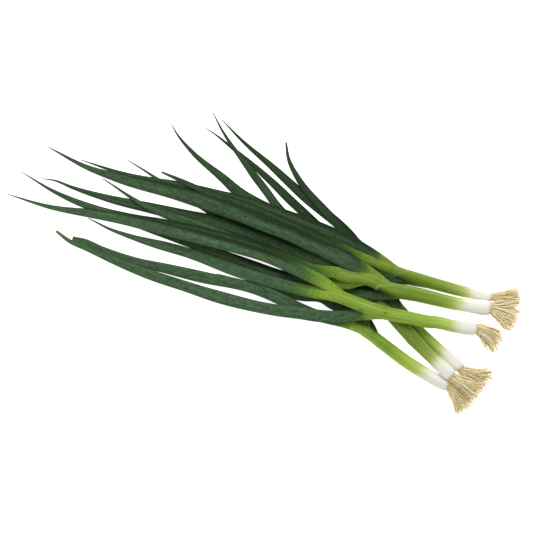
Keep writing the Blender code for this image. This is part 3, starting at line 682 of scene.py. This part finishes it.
# The blade: base is its half width where it leaves the stem, as a share of the stem's radius, in
# most leaves baseShare. Its tip is drawn out by pointed, at these distances from the tip. Its
# upper side has a channel, and the blade rolls slowly from side to side along its length.
leafShape = {"sides": 36, "step": 1.3, "roll": 6.0, "channel": 0.30, "channelWidth": 0.35,
             "channelWander": 0.35, "pointedEdge": 0.35, "baseShare": 0.95, "base": {(3, 2): 0.78},
             "emergingAt": [0.0, 5.0], "emerging": [0.93, 1.0], "waviness": 0.05, "bluntTip": 0.7,
             "pointedAt": [0.0, 8.0, 70.0], "pointed": [0.6, 0.72, 1.0]}

# The blade's colours: ridge is where, across the blade, the waxed side begins, and rubbed the
# width in which it does so. The dry brown of the tip runs back over dryAt.
leafColour = {"ridge": -0.42, "ridgeWander": 0.25, "waxedBoth": 0.9, "waxedTip": 0.5, "rubbed": 0.5,
              "heartDarkening": 0.7, "dryTip": 0.12, "driest": {(3, 1): 0.8},
              "dryAt": [0.0, 3.0, 9.0, 22.0], "dry": [1.0, 0.6, 0.2, 0.0]}


def bladeSection(rng, stations, flat, halfWidth, halfThick, turns):
    # steps across the blade and rises over it: a flat lens with a channel, rolled about its middle
    x = np.cos(turns)[None, :] * np.ones(len(stations))[:, None]
    y = np.sin(turns)[None, :] * np.ones(len(stations))[:, None]
    y = np.sign(y) * np.abs(y) ** (1.0 + leafShape["pointedEdge"] * flat[:, None])
    depth = flat * leafShape["channel"] * (1.0 + 0.6 * wander(rng, stations, 60, 140))
    middle = leafShape["channelWander"] * wander(rng, stations, 90, 220)
    off = (x - middle[:, None]) / leafShape["channelWidth"]
    hollow = 1.0 - depth[:, None] * np.exp(-off ** 2)
    y = np.where(y > 0.0, y * hollow, y)
    roll = np.radians(leafShape["roll"]) * flat * wander(rng, stations, 80, 200)
    sideStep = halfWidth[:, None] * x
    rise = halfThick[:, None] * y
    cosine, sine = np.cos(roll)[:, None], np.sin(roll)[:, None]
    return x, sideStep * cosine - rise * sine, sideStep * sine + rise * cosine


def leafDarkening(number, leaf, distance):
    # from the stem's green to the leaf's own: past its crotch, or past the last one for the heart
    if not leaf["heart"]:
        return darkeningOf(number, leaf["number"], distance)
    past = distance - max(fork[0] for fork in crotches[number].values())
    return ease(past / tints[number]["turns"]) ** leafColour["heartDarkening"]


def leafPart(number, onion, leaf):
    rng = np.random.default_rng(100 * number + leaf["number"])
    name = (number, leaf["number"])
    tint = tints[number]
    full = along(leaf["line"][:, :2])[-1]
    stations = np.append(np.arange(0.0, full - 0.5, leafShape["step"]), full)
    line = readLine(leaf, stations)
    inside = laying["inside"]
    baseShare = 1.0 if leaf["heart"] else leafShape["base"].get(name, leafShape["baseShare"])
    halfWidth, halfThick = leafSizes(stations, inside, leaf["radius"] * baseShare, leaf["width"], leaf["tip"])
    emerging = np.interp(stations, leafShape["emergingAt"], leafShape["emerging"])
    halfWidth = halfWidth * emerging
    halfThick = halfThick * emerging
    flat = ease((stations - inside) / laying["opening"])
    if leaf["tip"] < leafShape["bluntTip"]:
        halfWidth = halfWidth * np.interp(full - stations, leafShape["pointedAt"], leafShape["pointed"])
    halfWidth = halfWidth * (1.0 + leafShape["waviness"] * flat * wander(rng, stations, 50, 110))
    across, upward = crossFrame(line, stations)
    sides = leafShape["sides"]
    turns = np.arange(sides) * 2 * np.pi / sides
    x, sideStep, rise = bladeSection(rng, stations, flat, halfWidth, halfThick, turns)
    points = ringsRound(line, across, upward, sideStep, rise)
    points[:, :, 2] = np.maximum(points[:, :, 2], 0.0)
    distance = stations + leaf["fork"] - inside
    start = stemGreen(onion, distance)
    darkening = leafDarkening(number, leaf, distance)
    green = start + (1.0 - start) * darkening
    dryTip = leafColour["driest"].get(name, leafColour["dryTip"])
    dry = dryTip * np.interp(full - stations, leafColour["dryAt"], leafColour["dry"])
    # one long side of the blade keeps its wax, the other has lost it
    ridge = leafColour["ridge"] + leafColour["ridgeWander"] * wander(rng, stations, 120, 300)
    if leaf["number"] in tint["waxedBoth"]:
        ridge = ridge - leafColour["waxedBoth"]
    ridge = ridge - leafColour["waxedTip"] * ease(stations / full * 1.6 - 0.6)
    waxed = ease((x - ridge[:, None]) / leafColour["rubbed"] + 0.5) * tint["wax"]
    waxed = waxed * np.clip(1.6 * darkening, 0.0, 1.0)[:, None]
    tone = tint["stem"] + (tint["leaf"] - tint["stem"]) * darkening
    seed = number + 0.1 * leaf["number"]
    return {"points": points, "grain": grainOf(turns, allRound(distance, sides), seed),
            "green": allRound(green, sides), "bloom": waxed, "tone": allRound(tone, sides),
            "dry": allRound(dry, sides)}


for number, parts in bunch.items():
    onion = onions[number]
    heart = [leaf for leaf in parts["leaves"] if leaf["heart"]][0]
    skins = [stemPart(number, onion, parts["stem"])]
    skins += [cuffPart(number, onion, parts["stem"], heart, leaf) for leaf in parts["leaves"]
              if leaf["number"] in crotches[number]]
    makePiece(f"onion{number}Stem", skins, stemSkin, [f"onion_{number}_shank"])
    for leaf in parts["leaves"]:
        makePiece(f"onion{number}Leaf{leaf['number']}", [leafPart(number, onion, leaf)], leafSkin,
                  [f"onion_{number}_leaf_{leaf['number']}"])
    print("onion", number, "stem and leaves made")


# The root brush: strands in locks that leave a low plate under the bulb. gather is how far a
# strand keeps to its lock's place on the plate, foot the share of the bulb that they leave from,
# and ahead how much they set out along the stem before they turn to their own course.
brush = {"locks": 22, "strands": 11, "rings": 14, "sides": 5, "thick": 0.42, "thin": 0.26,
         "uneven": (0.8, 1.15), "sag": 0.2, "shortest": 0.6, "shorter": 0.22, "wave": 1.5,
         "sway": 0.4, "kink": 0.5, "loft": 0.4, "pile": 1.2, "gather": 0.55, "foot": 0.8,
         "ahead": 0.35, "scatter": 3.2, "lockScatter": 0.10, "tone": (0.25, 1.0),
         "toneAt": [0.0, 0.12, 0.4], "toneAlong": [0.5, 0.88, 1.0]}
plateShape = {"sides": 24, "reach": [-1.5, 0.3, 1.0, 1.9, 2.4], "uneven": 0.05, "tone": 0.3,
              "size": [0.74, 0.76, 0.7, 0.54, 0.3]}


def rootPlate(rng, foot, ahead, across, upward, bulb):
    sides = plateShape["sides"]
    turns = np.arange(sides) * 2 * np.pi / sides
    reach = np.array(plateShape["reach"])
    size = np.array(plateShape["size"]) * bulb
    uneven = 1.0 + plateShape["uneven"] * rng.uniform(-1, 1, (len(reach), sides))
    centre = foot + ahead * reach[:, None]
    points = ringsRound(centre, across[None, :], upward[None, :], size[:, None] * uneven * np.cos(turns),
                        size[:, None] * uneven * np.sin(turns))
    points[:, :, 2] = np.maximum(points[:, :, 2], 0.0)
    return {"points": points, "grain": points - foot,
            "tone": np.full((len(reach), sides), plateShape["tone"])}


def rootLocks(rng, heading, spread, length):
    # each lock: its place across the plate and up it, its course, its length and its sway
    locks = []
    for i in range(brush["locks"]):
        sideShare = -1.0 + 2.0 * (i + rng.uniform(0.2, 0.8)) / brush["locks"]
        turn = math.radians(heading + spread * sideShare + rng.normal(0, brush["lockScatter"] * spread))
        reachOf = length * (1.0 - (1.0 - brush["shortest"]) * rng.uniform(0, 1) ** 1.8)
        locks.append((sideShare, rng.uniform(-0.8, 0.8), turn, reachOf, brush["wave"] * rng.uniform(-1, 1)))
    return locks


def rootStrand(rng, lock, foot, ahead, across, upward, bulb, low, high):
    sideShare, upShare, turn, reachOf, lockSway = lock
    share = np.linspace(0.0, 1.0, brush["rings"])
    angle = rng.uniform(0, 2 * np.pi)
    out = math.sqrt(rng.uniform(0, 1))
    sideAt = brush["gather"] * sideShare + (1.0 - brush["gather"]) * out * math.cos(angle)
    upAt = brush["gather"] * upShare + (1.0 - brush["gather"]) * out * math.sin(angle)
    place = foot + ahead * 0.9 + brush["foot"] * bulb * (across * sideAt + upward * upAt)
    turn = turn + math.radians(rng.normal(0, brush["scatter"]))
    course = np.array([math.cos(turn), math.sin(turn), 0.15 * upAt])
    reachOf = reachOf * (1.0 - brush["shorter"] * rng.uniform(0, 1) ** 2)
    turning = ahead * (1 - share)[:, None] + course * share[:, None]
    line = place + reachOf * share[:, None] * (brush["ahead"] * turning + (1.0 - brush["ahead"]) * course)
    sway = lockSway + brush["sway"] * rng.uniform(-1, 1)
    sway = sway * np.sin(2 * np.pi * share * rng.uniform(0.45, 0.8))
    kink = brush["kink"] * rng.uniform(-1, 1) * np.sin(2 * np.pi * share * rng.uniform(1.2, 2.2))
    bow = np.array([-course[1], course[0], 0.0])
    line = line + bow * (sway + kink)[:, None]
    loft = brush["loft"] * rng.uniform(-1, 1) * np.sin(np.pi * share)
    line[:, 2] += -brush["sag"] * reachOf * share ** 2 + loft
    radii = np.linspace(brush["thick"], brush["thin"], len(share)) * rng.uniform(*brush["uneven"])
    line[:, 2] = np.maximum(line[:, 2], radii + 0.05 + rng.uniform(0, brush["pile"]))
    # kept inside the box of the roots that it replaces
    line[:, 0] = np.clip(line[:, 0], low[0] + 0.6, high[0] - 0.4)
    line[:, 1] = np.clip(line[:, 1], low[1] + 0.6, high[1] - 0.6)
    line[:, 2] = np.minimum(line[:, 2], high[2] - 0.4)
    strandAcross, strandUp = crossFrame(line, share * reachOf)
    sides = np.arange(brush["sides"]) * 2 * np.pi / brush["sides"]
    points = ringsRound(line, strandAcross, strandUp, radii[:, None] * np.cos(sides),
                        radii[:, None] * np.sin(sides))
    tone = rng.uniform(*brush["tone"]) * np.interp(share, brush["toneAt"], brush["toneAlong"])
    return {"points": points, "grain": points - foot + 7.0 * rng.uniform(0, 9),
            "tone": allRound(tone, len(sides))}


def rootParts(number, onion, stem):
    rng = np.random.default_rng(500 + number)
    foot = stem["line"][0]
    ahead = stem["line"][0] - stem["line"][2]
    ahead = ahead / np.linalg.norm(ahead)
    across = np.array([-ahead[1], ahead[0], 0.0])
    across /= np.linalg.norm(across)
    upward = np.cross(ahead, across)
    low, high = (np.array(corner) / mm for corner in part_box(f"onion_{number}_roots"))
    parts = [rootPlate(rng, foot, ahead, across, upward, onion["bulb"])]
    locks = rootLocks(rng, *onion["roots"])
    for i in range(brush["locks"] * brush["strands"]):
        parts.append(rootStrand(rng, locks[i % brush["locks"]], foot, ahead, across, upward,
                                onion["bulb"], low, high))
    return parts


for number, parts in bunch.items():
    makePiece(f"onion{number}Roots", rootParts(number, onions[number], parts["stem"]), rootFibre,
              [f"onion_{number}_roots"])
print("roots made")


# A white table under plain soft light, seen from above.
studio = {"floorHalf": 3.0, "floor": "#F7F7F5", "floorGlow": 0.8, "keyPower": 22.0,
          "skyStrength": 0.5}


def makeFloor():
    half = studio["floorHalf"]
    mesh = bpy.data.meshes.new("table")
    mesh.from_pydata([(-half, -half, -0.0002), (half, -half, -0.0002), (half, half, -0.0002),
                      (-half, half, -0.0002)], [], [(0, 1, 2, 3)])
    material, tree = newMaterial("whiteTable")
    shader = addNode(tree, "ShaderNodeBsdfPrincipled",
                     {"Base Color": linear(studio["floor"]), "Roughness": 0.9,
                      "Emission Color": (1.0, 1.0, 1.0, 1.0), "Emission Strength": studio["floorGlow"]})
    addNode(tree, "ShaderNodeOutputMaterial", {"Surface": shader.outputs[0]})
    mesh.materials.append(material)
    floor = bpy.data.objects.new("table", mesh)
    bpy.context.scene.collection.objects.link(floor)


def addArea(name, place, aim, size, power):
    data = bpy.data.lights.new(name, "AREA")
    data.shape = "DISK"
    data.size = size
    data.energy = power
    lamp = bpy.data.objects.new(name, data)
    lamp.location = place
    direction = np.array(aim) - np.array(place)
    lamp.rotation_mode = "QUATERNION"
    lamp.rotation_quaternion = Vector(direction).to_track_quat("-Z", "Y")
    bpy.context.scene.collection.objects.link(lamp)


makeFloor()
world = bpy.data.worlds.new("studio")
world.use_nodes = True
world.node_tree.nodes["Background"].inputs["Color"].default_value = (1.0, 1.0, 1.0, 1.0)
world.node_tree.nodes["Background"].inputs["Strength"].default_value = studio["skyStrength"]
bpy.context.scene.world = world
bpy.context.scene.view_settings.view_transform = "Standard"
addArea("keyLight", (-0.45, 1.1, 1.5), (0.0, 0.0, 0.0), 1.2, studio["keyPower"])

view = {"lens": 200.0, "sensor": 36.0, "width": 0.4815, "middle": (0.0076, -0.0234),
        "level": 0.008, "turn": 18.0}
cameraData = bpy.data.cameras.new("camera")
cameraData.lens = view["lens"]
cameraData.sensor_width = view["sensor"]
cameraData.clip_end = 20.0
camera = bpy.data.objects.new("camera", cameraData)
camera.location = (view["middle"][0], view["middle"][1],
                   view["level"] + view["width"] * view["lens"] / view["sensor"])
camera.rotation_euler = (0.0, 0.0, math.radians(view["turn"]))
bpy.context.scene.collection.objects.link(camera)
bpy.context.scene.camera = camera
print("table, light and camera set")
